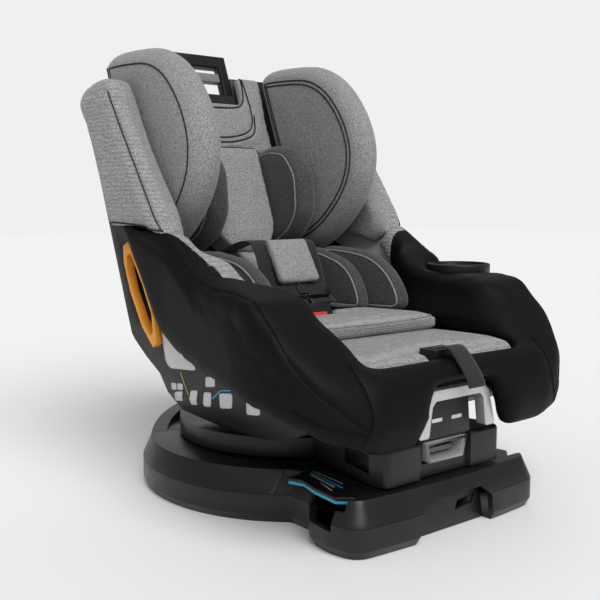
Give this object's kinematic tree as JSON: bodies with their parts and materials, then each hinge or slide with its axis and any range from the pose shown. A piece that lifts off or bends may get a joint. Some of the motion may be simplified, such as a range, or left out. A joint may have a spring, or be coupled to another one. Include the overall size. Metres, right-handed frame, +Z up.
{
  "type": "convertible child car seat",
  "caption": "Convertible child car seat with a turning base, reclining padded shell, height-adjustable winged headrest, five-point harness and cup holder.",
  "frame": {"origin": "turning axis at the ground, under the centre of the base's round rear lobe", "axes": "+Z up along the turning axis; the seat faces -Y; +X is the child's left, the side of the cup holder"},
  "size_m": [0.487, 0.6152, 0.6208],
  "materials": {
    "base_plastic": "fine-grained black moulding",
    "dark_plastic": "black moulding",
    "shell_plastic": "fine-grained black moulding",
    "orange_plastic": "satin orange moulding",
    "blue_plastic": "satin blue moulding",
    "grey_plastic": "satin grey moulding",
    "silver_paint": "satin silver",
    "red_plastic": "satin red moulding",
    "steel": "satin",
    "rubber": "matte",
    "foam": "expanded foam bead texture",
    "grey_fabric": "heathered knit",
    "dark_fabric": "heathered dark knit",
    "black_fabric": "smooth bonded knit",
    "webbing": "woven webbing"
  },
  "bodies": {
    "base": {"base_pan": "base_plastic", "base_rear_cover": "base_plastic", "base_front_cover": "base_plastic", "front_recess_panel": "base_plastic", "belt_plates": "base_plastic", "blue_guides": "blue_plastic", "base_frame": "steel", "hub_post": "steel", "slip_ring": "dark_plastic", "foot_pads": "rubber", "base_screws": "steel"},
    "turntable": {"turntable_platform": "base_plastic", "recline_bezel": "silver_paint", "block_windows": "dark_plastic"},
    "recline_pull": {"recline_handle": "grey_plastic", "recline_rod": "steel"},
    "turn_release": {"turn_handle": "silver_paint"},
    "cup": {"cup_holder": "dark_plastic"},
    "adjuster": {"adjuster_button": "dark_plastic"},
    "clip_release": {"clip_button": "dark_plastic"},
    "buckle_release": {"buckle_button": "red_plastic"},
    "headrest": {"headrest_plate": "dark_plastic", "headrest_grip": "grey_plastic", "headrest_pad": "grey_fabric", "pillow_centre": "grey_fabric", "pillow_bolsters": "dark_fabric", "headrest_carrier": "dark_plastic", "headrest_wing_right": "grey_fabric", "headrest_wing_left": "grey_fabric"},
    "headrest_release": {"headrest_lever": "dark_plastic"},
    "seat": {"seat_shell": "shell_plastic", "belt_guides": "orange_plastic", "shell_back_cover": "shell_plastic", "headrest_rods": "steel", "steel_frame": "steel", "splitter_plate": "steel", "side_liners": "foam", "seat_foam": "foam", "recline_rails": "steel", "back_pad": "grey_fabric", "seat_pad": "grey_fabric", "arm_cover_right": "black_fabric", "arm_cover_left": "black_fabric", "side_cover_right": "grey_fabric", "side_cover_left": "grey_fabric", "front_cover": "black_fabric", "front_panel": "dark_plastic", "cup_dock": "dark_plastic", "adjuster_housing": "dark_plastic", "adjuster_strap": "webbing", "body_insert": "grey_fabric", "insert_bolsters_inner": "dark_fabric", "insert_bolsters_outer": "grey_fabric", "shoulder_straps": "webbing", "hip_straps": "webbing", "crotch_strap": "webbing", "chest_pad": "grey_fabric", "chest_clip": "dark_plastic", "harness_tongues": "steel", "buckle_housing": "dark_plastic"}
  },
  "joints": [
    {"name": "turn", "type": "hinge", "parent": "base", "child": "turntable", "pos_m": [0, 0, 0], "axis": [0, 0, 1], "range_deg": [-90, 90]},
    {"name": "recline", "type": "hinge", "parent": "turntable", "child": "seat", "pos_m": [0, -0.07, 0.54], "axis": [-1, 0, 0], "range_deg": [0, 15]},
    {"name": "recline_pull", "type": "slide", "parent": "turntable", "child": "recline_pull", "axis": [0, -1, 0], "range_m": [0, 0.012], "stiffness_N_per_m": 400, "springref_m": -0.004},
    {"name": "turn_release", "type": "slide", "parent": "seat", "child": "turn_release", "axis": [0, 0, 1], "range_m": [0, 0.006], "stiffness_N_per_m": 500, "springref_m": -0.003},
    {"name": "cup_lift", "type": "slide", "parent": "seat", "child": "cup", "axis": [0, 0, 1], "range_m": [0, 0.06]},
    {"name": "adjuster_press", "type": "slide", "parent": "seat", "child": "adjuster", "axis": [0, 0, -1], "range_m": [0, 0.003], "stiffness_N_per_m": 300, "springref_m": -0.003},
    {"name": "clip_press", "type": "slide", "parent": "seat", "child": "clip_release", "axis": [0, 0.7557, -0.6549], "range_m": [0, 0.0015], "stiffness_N_per_m": 300, "springref_m": -0.002},
    {"name": "buckle_press", "type": "slide", "parent": "seat", "child": "buckle_release", "axis": [0, 0.8232, -0.5677], "range_m": [0, 0.003], "stiffness_N_per_m": 500, "springref_m": -0.003},
    {"name": "headrest_height", "type": "slide", "parent": "seat", "child": "headrest", "axis": [0, 0.3681, 0.9298], "range_m": [0, 0.12]},
    {"name": "headrest_squeeze", "type": "slide", "parent": "headrest", "child": "headrest_release", "axis": [0, 0.3681, 0.9298], "range_m": [0, 0.008], "stiffness_N_per_m": 400, "springref_m": -0.004}
  ]
}
